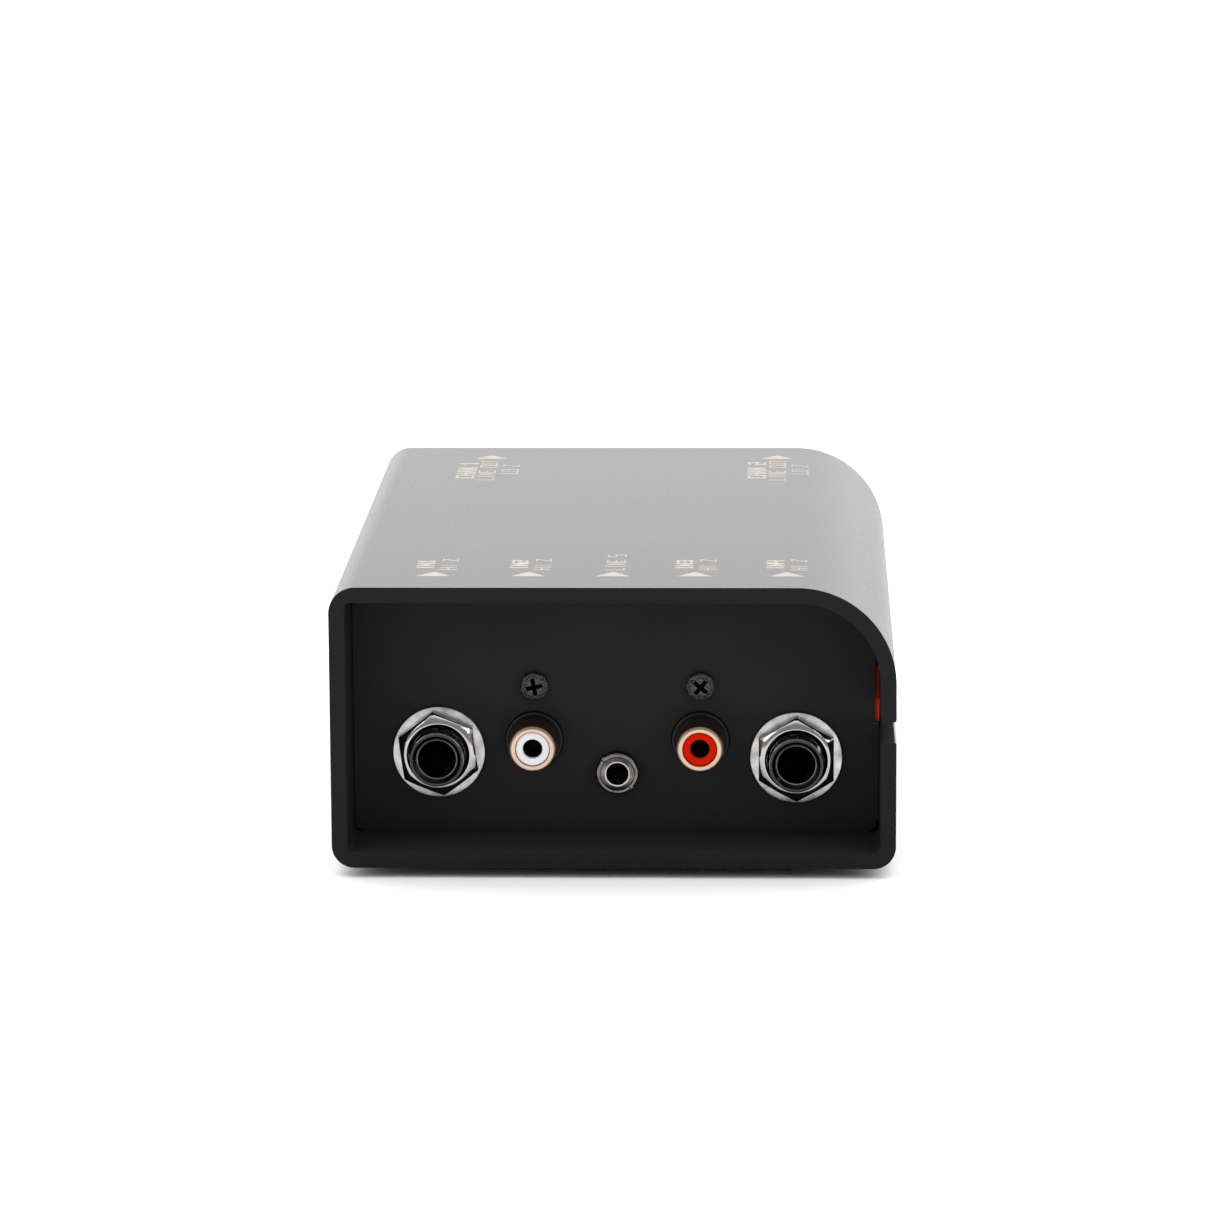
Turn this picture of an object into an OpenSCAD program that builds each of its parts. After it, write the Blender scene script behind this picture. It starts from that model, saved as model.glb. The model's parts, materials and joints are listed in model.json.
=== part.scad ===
// Two-channel passive direct injection box: a one-piece extruded shell around a bent chassis
// tray that carries the input sockets, the transformers on their board and the output plugs.
// Origin: centre of the footprint, under the feet. +X right, +Y to the output end, +Z up.

/* [Shell] */
// Overall width of the shell
shell_w = 97; // [95:1:105]
// Height of the shell without its feet
shell_h = 49.2; // [48:0.1:54]
// Depth of the shell from the input end to the output end
shell_d = 140; // [138:1:150]
// Wall thickness of the extrusion
wall = 2.7; // [2.4:0.1:3]
// Outer radius of the large shoulder, top right
shoulder_r = 17; // [12:1:18]
// Outer radius of the top left edge
edge_r = 4.6; // [3:0.1:6]
// Outer radius of both bottom edges
base_r = 3.9; // [3:0.1:5]
// Height of the side slot's lower lip above the shell's underside
slot_z = 22.2; // [20:0.1:24]
// Height of the side slot
slot_h = 3.6; // [3:0.1:5]

/* [Chassis] */
// Depth of the recess in front of each connector panel
recess = 15.5; // [12:0.5:17]
// Thickness of the connector panels
panel_t = 1.5; // [1.2:0.1:2]
// Gap between the panels' edges and the shell
panel_gap = 0.4; // [0.3:0.1:0.6]
// How far the panels sit to the left of the middle of that gap
panel_shift = 0.25; // [0:0.05:0.25]
// Thickness of the chassis floor
floor_t = 1.2; // [1:0.1:1.4]
// Thickness of the circuit board
board_t = 1.6; // [1.5:0.1:1.7]
// Height of the rubber feet
foot_h = 1.8; // [1.5:0.1:3]
// Diameter of the rubber feet
foot_d = 10; // [8:0.5:12]

/* [Input sockets] */
// Sideways offset of the whole row of sockets from the shell's middle
row_x = 0.3; // [0:0.1:0.5]
// Distance of each 6.3 mm jack from the row's middle
jack_x = 31.1; // [30:0.1:31.5]
// Height of the left 6.3 mm jack above the shell's underside
jack_left_z = 17.1; // [16:0.1:17.4]
// Height of the right 6.3 mm jack above the shell's underside
jack_right_z = 16.2; // [16:0.1:17.4]
// Bore of the 6.3 mm jacks
jack_bore_d = 6.5; // [6.4:0.05:6.6]
// Distance of each phono socket from the row's middle
phono_x = 14.45; // [14:0.05:15]
// Height of the phono sockets above the shell's underside
phono_z = 19.2; // [18:0.1:19.6]
// Outer diameter of a phono socket's barrel
phono_d = 8.3; // [8.2:0.05:8.4]
// Height of the 3.5 mm jack above the shell's underside
mini_z = 13.5; // [12.8:0.1:13.8]
// Bore of the 3.5 mm jack
mini_bore_d = 3.6; // [3.5:0.05:3.7]

/* [Output side] */
// Distance of each output connector from the middle
xlr_x = 28; // [27.5:0.1:28]
// Height of the output connectors above the shell's underside
xlr_z = 24.5; // [24:0.1:25]
// Travel of the ground lift slider
lift_travel = 3; // [2:0.1:3]

/* [Hidden] */

$fn = 64;
eps = 0.01;

// Heights above the table
base_z = foot_h;
floor_z = base_z + wall;
floor_top = floor_z + floor_t;
standoff_h = 2.3;
board_z = floor_top + standoff_h;
board_top = board_z + board_t;
jack_left = [row_x - jack_x, base_z + jack_left_z];
jack_right = [row_x + jack_x, base_z + jack_right_z];
phono_axis_z = base_z + phono_z;
mini_axis_z = base_z + mini_z;
xlr_axis_z = base_z + xlr_z;

// Places along the depth: outer and inner faces of the two panels
front_face = -shell_d / 2 + recess;
front_back = front_face + panel_t;
rear_face = shell_d / 2 - recess;
rear_back = rear_face - panel_t;

// Fits between neighbouring pieces
running = 0.06;
snug = 0.05;

// Feet, chassis screws and board supports, as distances from the middle
foot_at = [38, 54];
tray_screw_at = [34, 31];
support_at = [40, 22];
board_w = 86;
board_gap = 0.4;

// Screw sizes
m3_r = 1.5;
m3_tap_r = 1.55;
flat_head_r = 2.8;
pan_head_r = 2.75;
pan_head_h = 1.8;

// 6.3 mm jack
jack_body_w = 16;
jack_body_l = 26.5;
jack_bush_r = 4.75;
jack_bush_out = 7.2;
jack_bush_in = 8;
jack_washer_r = 8.05;
jack_washer_t = 0.8;
jack_nut_af = 13;
jack_nut_t = 2.5;
jack_lead_in = [1, 0.7];
jack_left_turn = 7.5;
jack_right_turn = 0;
jack_chamber_w = 14;
jack_chamber_h = 7.4;
post_r = 0.45;
post_x = 5.4;
post_y = front_back + jack_bush_in + 1.6;
eye_r = 0.9;
leaf_t = 0.4;
leaf_h = 3.4;
tip_leaf_l = 11.4;
ring_leaf_l = 6.2;
tip_lean = 10;
ring_lean = 20;

// Phono socket
phono_body_w = 10.4;
phono_body_l = 10;
phono_body_top = 34.4;
phono_collar_r = 5;
phono_collar_out = 0.9;
phono_barrel_out = 7.9;
phono_wall = 1.15;
phono_contact_r = 1.95;
phono_hole_r = 1.7;
phono_screw_up = 9.6;
phono_screw_r = 1.25;
phono_head_r = 2.45;
phono_seat_r = 3.9;
phono_front = front_face - phono_barrel_out;
phono_seat = front_back + 4;

// 3.5 mm jack
mini_body_w = 9;
mini_body_l = 12;
mini_bush_r = 2.95;
mini_bush_out = 2.1;
mini_nut_r = 3.7;
mini_nut_t = 1.9;
mini_front = front_face - mini_bush_out;

// Output connector
xlr_flange = [26, 31];
xlr_flange_t = 2;
xlr_body_r = 11.8;
xlr_cup_r = 8.1;
xlr_cup_depth = 15.4;
xlr_insert_t = 5;
xlr_pin_r = 1.2;
xlr_pin_circle_r = 4;
xlr_pin_l = 13.5;
xlr_screw_dx = 9.5;
xlr_screw_dz = 12;
xlr_floor = rear_face + xlr_flange_t - xlr_cup_depth;
xlr_tail_y = xlr_floor - xlr_insert_t - 1.6;
tail_r = 0.6;
// Places of the three pins around the connector's axis
function pin_at(i) = [xlr_pin_circle_r * cos(30 + 120 * i), xlr_pin_circle_r * sin(30 + 120 * i)];

// Transformer
trafo_at = [22, 4];
trafo_size = [25, 32, 23];
can_t = 0.8;
core_size = [10, 24, 19];
core_leg = 3.6;
core_low = board_top;
window = [(core_size[1] - 4 * core_leg) / 2, core_size[2] - 2 * core_leg];
bobbin_t = 0.6;

// Ground lift switch
lift_body = [13, 5.6, 6.6];
lift_knob = [4, 3];
lift_knob_out = 2.2;
lift_window_gap = 0.5;
lift_ear = 19;
lift_screw_x = 8;
lift_pitch = 2.5;
lift_plate = [7, 1.6, 4.68];
lift_cavity = [lift_plate[0] + lift_travel + 0.4, 3.9, 4.8];
lift_tail_r = 0.4;
lift_tail_y = rear_back - lift_body[1] - 1.6;

// Small parts on the board
lead_r = 0.3;
resistor_leg = 3.4;
function resistor_at(side, i) = [side * 5, -36 + i * 3.4];
function capacitor_at(side, i) = [side * (3.6 + i * 6), 30];

// ---- helpers -------------------------------------------------------------

// A flat outline in X and Z, extruded from y0 to y1
module slab(y0, y1) {
    translate([0, y1, 0]) rotate([90, 0, 0]) linear_extrude(y1 - y0) children();
}

// A round bar along Y
module bar(r, y0, y1, x = 0, z = 0) {
    translate([x, y0, z]) rotate([-90, 0, 0]) cylinder(r = r, h = y1 - y0);
}

// A cone along Y, from radius r0 at y0 to r1 at y1
module taper(r0, r1, y0, y1, x = 0, z = 0) {
    translate([x, y0, z]) rotate([-90, 0, 0]) cylinder(r1 = r0, r2 = r1, h = y1 - y0);
}

// A block given by its middle in X and Y, its underside and its size
module block(x, y, z, size) {
    translate([x - size[0] / 2, y - size[1] / 2, z]) cube(size);
}

// The waste outside one rounded corner; quarter counts anticlockwise from bottom left
module corner_waste(at, r, quarter) {
    translate(at) rotate(90 * quarter) difference() {
        translate([-1, -1]) square([r + 1, r + 1]);
        translate([r, r]) circle(r, $fn = 96);
    }
}

// The shell's cross-section, set in from its outside by inset
module section(inset) {
    half = shell_w / 2 - inset;
    low = base_z + inset;
    high = base_z + shell_h - inset;
    base = max(base_r - inset, 0.8);
    difference() {
        translate([-half, low]) square([2 * half, high - low]);
        corner_waste([-half, low], base, 0);
        corner_waste([half, low], base, 1);
        corner_waste([half, high], shoulder_r - inset, 2);
        corner_waste([-half, high], max(edge_r - inset, 0.8), 3);
    }
}

// Copies of a piece at the four places given by their distances from the middle
module at_corners(at) {
    for (sx = [-1, 1], sy = [-1, 1]) translate([sx * at[0], sy * at[1], 0]) children();
}

// ---- shell ---------------------------------------------------------------

module shell() {
    color("dimgray") difference() {
        slab(-shell_d / 2, shell_d / 2) difference() {
            section(0);
            section(wall);
            translate([shell_w / 2 - 2 * wall, base_z + slot_z]) square([3 * wall, slot_h]);
        }
        at_corners(tray_screw_at) translate([0, 0, base_z - 1]) cylinder(r = m3_tap_r, h = wall + 2);
        at_corners(tray_screw_at) translate([0, 0, base_z - eps])
            cylinder(r1 = flat_head_r + snug, r2 = m3_r + snug, h = flat_head_r - m3_r + eps);
    }
}

// Coloured bar that closes the side slot from inside
module accent_strip() {
    strip_low = base_z + slot_z;
    strip_high = base_z + slot_z + slot_h + 6.4;
    strip_t = 1.2;
    color("orangered") translate([shell_w / 2 - wall - strip_t, front_back + 0.1, strip_low])
        cube([strip_t, rear_back - front_back - 0.2, strip_high - strip_low]);
}

module rubber_feet() {
    color("black") at_corners(foot_at) cylinder(d = foot_d, h = foot_h);
}

// ---- chassis -------------------------------------------------------------

// Holes in the input panel
module input_holes() {
    cut0 = front_face - 1;
    cut1 = front_back + 1;
    for (at = [jack_left, jack_right]) bar(jack_bush_r + 0.1, cut0, cut1, at[0], at[1]);
    for (s = [-1, 1]) {
        bar(phono_collar_r + 0.1, cut0, cut1, row_x + s * phono_x, phono_axis_z);
        bar(phono_screw_r + 0.25, cut0, cut1, row_x + s * phono_x, phono_axis_z + phono_screw_up);
    }
    bar(mini_bush_r + 0.1, cut0, cut1, row_x, mini_axis_z);
}

// Holes in the output panel
module output_holes() {
    cut0 = rear_back - 1;
    cut1 = rear_face + 1;
    for (s = [-1, 1]) {
        bar(xlr_body_r + 0.2, cut0, cut1, s * xlr_x, xlr_axis_z);
        for (t = [-1, 1])
            bar(m3_tap_r, cut0, cut1, s * xlr_x + t * xlr_screw_dx, xlr_axis_z + t * xlr_screw_dz);
        bar(1.1, cut0, cut1, s * lift_screw_x, xlr_axis_z);
    }
    slab(cut0, cut1) translate([-(lift_knob[0] + lift_travel) / 2 - lift_window_gap,
        xlr_axis_z - lift_knob[1] / 2 - 0.3])
        square([lift_knob[0] + lift_travel + 2 * lift_window_gap, lift_knob[1] + 0.6]);
}

module chassis_tray() {
    floor_w = shell_w - 2 * wall - 2 * panel_gap - 2;
    color("dimgray") difference() {
        union() {
            block(0, 0, floor_z, [floor_w, rear_face - front_face, floor_t]);
            slab(front_face, front_back) panel_outline();
            slab(rear_back, rear_face) panel_outline();
        }
        input_holes();
        output_holes();
        at_corners(tray_screw_at) translate([0, 0, floor_z - 1]) cylinder(r = m3_tap_r, h = floor_t + 2);
        at_corners(support_at) translate([0, 0, floor_z - 1]) cylinder(r = m3_r, h = floor_t + 2);
    }
}

// A panel's outline: clear of the shell at the sides and top, standing on the shell's floor,
// with a step that closes the gap at the right below the slot
module panel_outline() {
    half = shell_w / 2 - wall - panel_gap;
    step_gap = 0.1;
    step_low = floor_z + 2;
    translate([-panel_shift, 0]) union() {
        section(wall + panel_gap);
        translate([-half + 1, floor_z]) square([2 * half - 2, 3]);
    }
    translate([half - 2, step_low]) square([2 + panel_gap - step_gap, base_z + slot_z - step_low]);
}

module clinch_nuts() {
    color("silver") at_corners(tray_screw_at) translate([0, 0, floor_top]) difference() {
        cylinder(r = 2.9, h = 2);
        translate([0, 0, -1]) cylinder(r = m3_tap_r, h = 4);
    }
}

module tray_screws() {
    color("silver") at_corners(tray_screw_at) difference() {
        union() {
            translate([0, 0, base_z]) cylinder(r1 = flat_head_r, r2 = m3_r, h = flat_head_r - m3_r);
            translate([0, 0, base_z + 1]) cylinder(r = m3_r, h = board_z - base_z - 1.4);
        }
        translate([0, 0, base_z - 1]) cylinder(r = 1, h = 1.9, $fn = 6);
    }
}

// ---- board ---------------------------------------------------------------

module main_board() {
    board_l = rear_back - front_back - 2 * board_gap;
    color("darkgreen") difference() {
        block(0, 0, board_z, [board_w, board_l, board_t]);
        at_corners(support_at) board_hole([0, 0], m3_r + 0.1);
        for (s = [-1, 1]) {
            for (t = [-1, 1]) board_hole([row_x + s * jack_x + t * post_x, post_y], post_r + snug);
            for (i = [0:2]) board_hole([s * xlr_x + pin_at(i)[0], xlr_tail_y], tail_r + snug);
            for (i = [0:3], t = [-1, 1]) board_hole(resistor_at(s, i) + [t * resistor_leg, 0], lead_r + snug);
            for (i = [0, 1], t = [-1, 1]) board_hole(capacitor_at(s, i) + [t, 0], lead_r + snug);
        }
        for (i = [-1:1]) board_hole([i * lift_pitch, lift_tail_y], lift_tail_r + snug);
    }
}

// A drilled hole through the board
module board_hole(at, r) {
    translate([at[0], at[1], board_z - 1]) cylinder(r = r, h = board_t + 2, $fn = 24);
}

module board_standoffs() {
    color("silver") at_corners(support_at) difference() {
        union() {
            translate([0, 0, floor_top]) cylinder(r = 2.6, h = standoff_h);
            translate([0, 0, floor_z]) cylinder(r = m3_r - snug, h = floor_t);
        }
        translate([0, 0, floor_top - 0.6]) cylinder(r = 1.25, h = standoff_h + 1);
    }
}

module board_screws() {
    color("silver") at_corners(support_at) difference() {
        union() {
            translate([0, 0, board_top]) cylinder(r = pan_head_r, h = pan_head_h);
            translate([0, 0, floor_top + 0.2]) cylinder(r = 1.2, h = board_top - floor_top);
        }
        for (turn = [0, 90]) translate([0, 0, board_top + 1]) rotate(turn)
            translate([-1.5, -0.3, 0]) cube([3, 0.6, 2]);
    }
}

// Axial resistors in two columns behind the phono sockets
module resistors() {
    body_l = 5.2;
    lift = 1.2;
    color("tan") for (s = [-1, 1], i = [0:3])
        translate([0, 0, board_top]) translate(resistor_at(s, i)) union() {
        translate([-body_l / 2, 0, lift]) rotate([0, 90, 0]) cylinder(r = 1.1, h = body_l);
        translate([-resistor_leg - lead_r, 0, lift]) rotate([0, 90, 0])
            cylinder(r = lead_r, h = 2 * (resistor_leg + lead_r), $fn = 24);
        for (t = [-1, 1]) translate([t * resistor_leg, 0, -board_t - 0.8])
            cylinder(r = lead_r, h = board_t + 0.8 + lift, $fn = 24);
    }
}

// Round capacitors near the output connectors
module capacitors() {
    color("midnightblue") for (s = [-1, 1], i = [0, 1])
        translate([0, 0, board_top]) translate(capacitor_at(s, i)) union() {
            cylinder(r = 2.5, h = 7);
            for (t = [-1, 1]) translate([t, 0, -board_t - 0.8])
                cylinder(r = lead_r, h = board_t + 1, $fn = 24);
        }
}

// ---- 6.3 mm jacks --------------------------------------------------------

module jack_body(at) {
    chamber0 = front_back + jack_bush_in;
    chamber1 = front_back + jack_body_l - 1.5;
    color("black") difference() {
        translate([at[0] - jack_body_w / 2, front_back, board_top])
            cube([jack_body_w, jack_body_l, at[1] + jack_body_w / 2 - board_top]);
        bar(jack_bush_r + snug, front_back - 1, chamber0, at[0], at[1]);
        translate([at[0] - jack_chamber_w / 2, chamber0 - eps, at[1] - jack_chamber_h / 2])
            cube([jack_chamber_w, chamber1 - chamber0, jack_chamber_h]);
        for (s = [-1, 1]) translate([at[0] + s * post_x, post_y, board_top - 1])
            cylinder(r = post_r + snug, h = at[1] + jack_chamber_h / 2 + 2 - board_top);
    }
}

module jack_bush(at) {
    front = front_face - jack_bush_out;
    bore_r = jack_bore_d / 2;
    color("slategray") difference() {
        bar(jack_bush_r, front, front_back + jack_bush_in, at[0], at[1]);
        bar(bore_r, front - 1, front_back + jack_bush_in + 1, at[0], at[1]);
        taper(bore_r + jack_lead_in[0], bore_r, front, front + jack_lead_in[1], at[0], at[1]);
    }
}

module jack_washer(at) {
    color("gainsboro") difference() {
        bar(jack_washer_r, front_face - jack_washer_t, front_face, at[0], at[1]);
        bar(jack_bush_r + 0.1, front_face - jack_washer_t - 1, front_face + 1, at[0], at[1]);
    }
}

module jack_nut(at, turn) {
    back = front_face - jack_washer_t;
    color("silver") difference() {
        slab(back - jack_nut_t, back) translate(at) rotate(90 + turn)
            circle(r = jack_nut_af / 2 / cos(30), $fn = 6);
        bar(jack_bush_r + snug, back - jack_nut_t - 1, back + 1, at[0], at[1]);
    }
}

// The two terminal posts that the contact springs pivot on
module jack_posts(at) {
    color("gold") for (s = [-1, 1]) translate([at[0] + s * post_x, post_y, board_z - 0.8])
        cylinder(r = post_r, h = at[1] + jack_chamber_h / 2 + 0.8 - board_z + 0.8);
}

// A leaf contact with a rolled eye; side says which post it turns on
module leaf_spring(at, side, length, lean) {
    color("gold") translate([at[0] + side * post_x, post_y, at[1] - leaf_h / 2]) rotate(side * lean)
        difference() {
            union() {
                cylinder(r = eye_r, h = leaf_h);
                translate([-leaf_t / 2, 0, 0]) cube([leaf_t, length, leaf_h]);
                translate([0, length, 0]) cylinder(r = 0.6, h = leaf_h);
            }
            translate([0, 0, -1]) cylinder(r = post_r + running, h = leaf_h + 2);
        }
}

module jack_left_body() { jack_body(jack_left); }
module jack_left_bush() { jack_bush(jack_left); }
module jack_left_washer() { jack_washer(jack_left); }
module jack_left_nut() { jack_nut(jack_left, jack_left_turn); }
module jack_left_posts() { jack_posts(jack_left); }
module jack_left_tip_spring() { leaf_spring(jack_left, 1, tip_leaf_l, tip_lean); }
module jack_left_ring_spring() { leaf_spring(jack_left, -1, ring_leaf_l, ring_lean); }

module jack_right_body() { jack_body(jack_right); }
module jack_right_bush() { jack_bush(jack_right); }
module jack_right_washer() { jack_washer(jack_right); }
module jack_right_nut() { jack_nut(jack_right, jack_right_turn); }
module jack_right_posts() { jack_posts(jack_right); }
module jack_right_tip_spring() { leaf_spring(jack_right, 1, tip_leaf_l, tip_lean); }
module jack_right_ring_spring() { leaf_spring(jack_right, -1, ring_leaf_l, ring_lean); }

// ---- phono sockets -------------------------------------------------------

module phono_body(x) {
    color("black") difference() {
        union() {
            translate([x - phono_body_w / 2, front_back, board_top])
                cube([phono_body_w, phono_body_l, phono_body_top - board_top]);
            bar(phono_collar_r, front_face - phono_collar_out, front_back + eps, x, phono_axis_z);
        }
        bar(phono_seat_r + snug, front_face - phono_collar_out - 1, phono_seat, x, phono_axis_z);
        bar(phono_screw_r, front_back - 1, front_back + 7.5, x, phono_axis_z + phono_screw_up);
    }
}

module phono_barrel(x) {
    color("wheat") difference() {
        union() {
            bar(phono_d / 2, phono_front, front_face - phono_collar_out, x, phono_axis_z);
            bar(phono_seat_r, front_face - phono_collar_out - eps, phono_seat, x, phono_axis_z);
        }
        bar(phono_d / 2 - phono_wall, phono_front - 1, phono_seat + 1, x, phono_axis_z);
    }
}

module phono_insulator(x, tint) {
    color(tint) difference() {
        bar(phono_d / 2 - phono_wall - snug, phono_front + 0.3, phono_seat, x, phono_axis_z);
        bar(phono_hole_r, phono_front - 1, phono_seat + 1, x, phono_axis_z);
        bar(phono_contact_r + snug, phono_front + 1.3, phono_seat + 1, x, phono_axis_z);
    }
}

// Spring sleeve that grips the plug's centre pin
module phono_contact(x) {
    color("gold") difference() {
        bar(phono_contact_r, phono_front + 1.4, phono_seat, x, phono_axis_z);
        bar(phono_contact_r - 0.3, phono_front, phono_seat - 0.4, x, phono_axis_z);
    }
}

module phono_left_body() { phono_body(row_x - phono_x); }
module phono_left_barrel() { phono_barrel(row_x - phono_x); }
module phono_left_insulator() { phono_insulator(row_x - phono_x, "white"); }
module phono_left_contact() { phono_contact(row_x - phono_x); }
module phono_right_body() { phono_body(row_x + phono_x); }
module phono_right_barrel() { phono_barrel(row_x + phono_x); }
module phono_right_insulator() { phono_insulator(row_x + phono_x, "red"); }
module phono_right_contact() { phono_contact(row_x + phono_x); }

// Cross-recess screws that hold the phono sockets to the panel
module phono_screws() {
    screw_z = phono_axis_z + phono_screw_up;
    head_h = 1.6;
    color("black") for (screw_x = [row_x - phono_x, row_x + phono_x]) difference() {
        union() {
            bar(phono_head_r, front_face - head_h, front_face, screw_x, screw_z);
            bar(phono_screw_r - snug, front_face - eps, front_back + 7, screw_x, screw_z);
        }
        for (turn = [0, 90]) slab(front_face - head_h - 1, front_face - head_h + 1)
            translate([screw_x, screw_z]) rotate(turn) square([2.8, 0.7], center = true);
    }
}

// ---- 3.5 mm jack ---------------------------------------------------------

module mini_jack_body() {
    color("black") difference() {
        translate([row_x - mini_body_w / 2, front_back, board_top])
            cube([mini_body_w, mini_body_l, mini_axis_z + 4.2 - board_top]);
        bar(mini_bush_r + snug, front_back - 1, front_back + 4, row_x, mini_axis_z);
        translate([row_x - 3.2, front_back + 4 - eps, mini_axis_z - 2]) cube([6.4, mini_body_l - 5.4, 4]);
    }
}

module mini_jack_bush() {
    color("silver") difference() {
        bar(mini_bush_r, mini_front, front_back + 4, row_x, mini_axis_z);
        bar(mini_bore_d / 2, mini_front - 1, front_back + 5, row_x, mini_axis_z);
        taper(mini_bore_d / 2 + 0.4, mini_bore_d / 2, mini_front, mini_front + 0.4, row_x, mini_axis_z);
    }
}

module mini_jack_nut() {
    color("silver") difference() {
        bar(mini_nut_r, front_face - mini_nut_t, front_face, row_x, mini_axis_z);
        bar(mini_bush_r + snug, front_face - mini_nut_t - 1, front_face + 1, row_x, mini_axis_z);
        slab(front_face - mini_nut_t - 1, front_face - mini_nut_t + 0.9)
            translate([row_x, mini_axis_z]) rotate(-45) square([3 * mini_nut_r, 1], center = true);
    }
}

module mini_jack_contacts() {
    color("gold") for (s = [-1, 1]) union() {
        translate([row_x + s * 3.05 - 0.15, front_back + 4.4, mini_axis_z - 1.2]) cube([0.3, 5.6, 2.4]);
        translate([row_x + s * 2.6, front_back + 8, mini_axis_z - 1.2]) cylinder(r = 0.6, h = 2.4);
    }
}

// ---- output connectors ---------------------------------------------------

module xlr_shell(x) {
    corner = 2.5;
    half = xlr_flange / 2;
    color("dimgray") difference() {
        union() {
            slab(rear_face, rear_face + xlr_flange_t) translate([x, xlr_axis_z]) difference() {
                square(xlr_flange, center = true);
                corner_waste([-half[0], -half[1]], corner, 0);
                corner_waste([half[0], -half[1]], corner, 1);
                corner_waste([half[0], half[1]], corner, 2);
                corner_waste([-half[0], half[1]], corner, 3);
            }
            bar(xlr_body_r, xlr_floor - xlr_insert_t, rear_face + 1, x, xlr_axis_z);
        }
        bar(xlr_cup_r, xlr_floor - xlr_insert_t - 1, rear_face + xlr_flange_t + 1, x, xlr_axis_z);
        for (t = [-1, 1]) bar(m3_r + 0.1, rear_face - 1, rear_face + xlr_flange_t + 1,
            x + t * xlr_screw_dx, xlr_axis_z + t * xlr_screw_dz);
        translate([x - 1.7, rear_face - 8, xlr_axis_z + xlr_cup_r - 1]) cube([3.4, 4, 2.2]);
    }
}

module xlr_insert(x) {
    color("black") difference() {
        bar(xlr_cup_r - snug, xlr_floor - xlr_insert_t, xlr_floor, x, xlr_axis_z);
        for (i = [0:2]) bar(xlr_pin_r + snug, xlr_floor - xlr_insert_t - 1, xlr_floor + 1,
            x + pin_at(i)[0], xlr_axis_z + pin_at(i)[1]);
    }
}

// Contact pins, each bent down into the board behind the connector
module xlr_pins(x) {
    color("silver") for (i = [0:2]) union() {
        pin_x = x + pin_at(i)[0];
        pin_z = xlr_axis_z + pin_at(i)[1];
        bar(xlr_pin_r, xlr_floor - xlr_insert_t, xlr_floor + xlr_pin_l, pin_x, pin_z);
        bar(tail_r, xlr_tail_y, xlr_floor - xlr_insert_t + 1, pin_x, pin_z);
        translate([pin_x, xlr_tail_y, board_z - 0.8]) cylinder(r = tail_r, h = pin_z + 0.8 - board_z);
    }
}

module xlr_left_shell() { xlr_shell(-xlr_x); }
module xlr_left_insert() { xlr_insert(-xlr_x); }
module xlr_left_pins() { xlr_pins(-xlr_x); }
module xlr_right_shell() { xlr_shell(xlr_x); }
module xlr_right_insert() { xlr_insert(xlr_x); }
module xlr_right_pins() { xlr_pins(xlr_x); }

module xlr_screws() {
    head0 = rear_face + xlr_flange_t;
    color("black") for (s = [-1, 1], t = [-1, 1]) difference() {
        screw_x = s * xlr_x + t * xlr_screw_dx;
        screw_z = xlr_axis_z + t * xlr_screw_dz;
        union() {
            bar(pan_head_r, head0, head0 + pan_head_h, screw_x, screw_z);
            bar(m3_r, rear_back - 1.5, head0 + eps, screw_x, screw_z);
        }
        for (turn = [0, 90]) slab(head0 + 0.8, head0 + pan_head_h + 1)
            translate([screw_x, screw_z]) rotate(turn) square([3, 0.7], center = true);
    }
}

// ---- transformers --------------------------------------------------------

module transformer_can(x) {
    inner = [trafo_size[0] - 2 * can_t, trafo_size[1] - 2 * can_t, trafo_size[2] - can_t];
    color("silver") difference() {
        block(x, trafo_at[1], board_top, trafo_size);
        block(x, trafo_at[1], board_top - eps, inner);
    }
}

// Stacked E and I laminations with a window each side of the centre leg
module transformer_core(x) {
    color("darkslategray") difference() {
        block(x, trafo_at[1], core_low, core_size);
        for (s = [-1, 1]) block(x, trafo_at[1] + s * (core_leg + window[0] / 2), core_low + core_leg,
            [core_size[0] + 2, window[0], window[1]]);
    }
}

module transformer_bobbin(x) {
    low = core_low + core_leg + 0.1;
    high = low + window[1] - 0.2;
    leg = [core_size[0] + 0.2, 2 * core_leg + 0.2];
    spread = [core_size[0] + 8.6, 2 * (core_leg + window[0]) - 0.3];
    color("ivory") difference() {
        union() {
            block(x, trafo_at[1], low, [spread[0], spread[1], bobbin_t]);
            block(x, trafo_at[1], low, [leg[0] + 2 * bobbin_t, leg[1] + 2 * bobbin_t, high - low]);
            block(x, trafo_at[1], high - bobbin_t, [spread[0], spread[1], bobbin_t]);
        }
        block(x, trafo_at[1], low - 1, [leg[0], leg[1], high - low + 2]);
    }
}

module transformer_winding(x) {
    low = core_low + core_leg + 0.1 + bobbin_t;
    high = core_low + core_leg + window[1] - 0.1 - bobbin_t;
    inner = [core_size[0] + 0.2 + 2 * bobbin_t, 2 * core_leg + 0.2 + 2 * bobbin_t];
    color("peru") difference() {
        block(x, trafo_at[1], low, [inner[0] + 6.6, inner[1] + 7.6, high - low]);
        block(x, trafo_at[1], low - 1, [inner[0], inner[1], high - low + 2]);
    }
}

module transformer_left_can() { transformer_can(-trafo_at[0]); }
module transformer_left_core() { transformer_core(-trafo_at[0]); }
module transformer_left_bobbin() { transformer_bobbin(-trafo_at[0]); }
module transformer_left_winding() { transformer_winding(-trafo_at[0]); }
module transformer_right_can() { transformer_can(trafo_at[0]); }
module transformer_right_core() { transformer_core(trafo_at[0]); }
module transformer_right_bobbin() { transformer_bobbin(trafo_at[0]); }
module transformer_right_winding() { transformer_winding(trafo_at[0]); }

// ---- ground lift switch --------------------------------------------------

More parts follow.
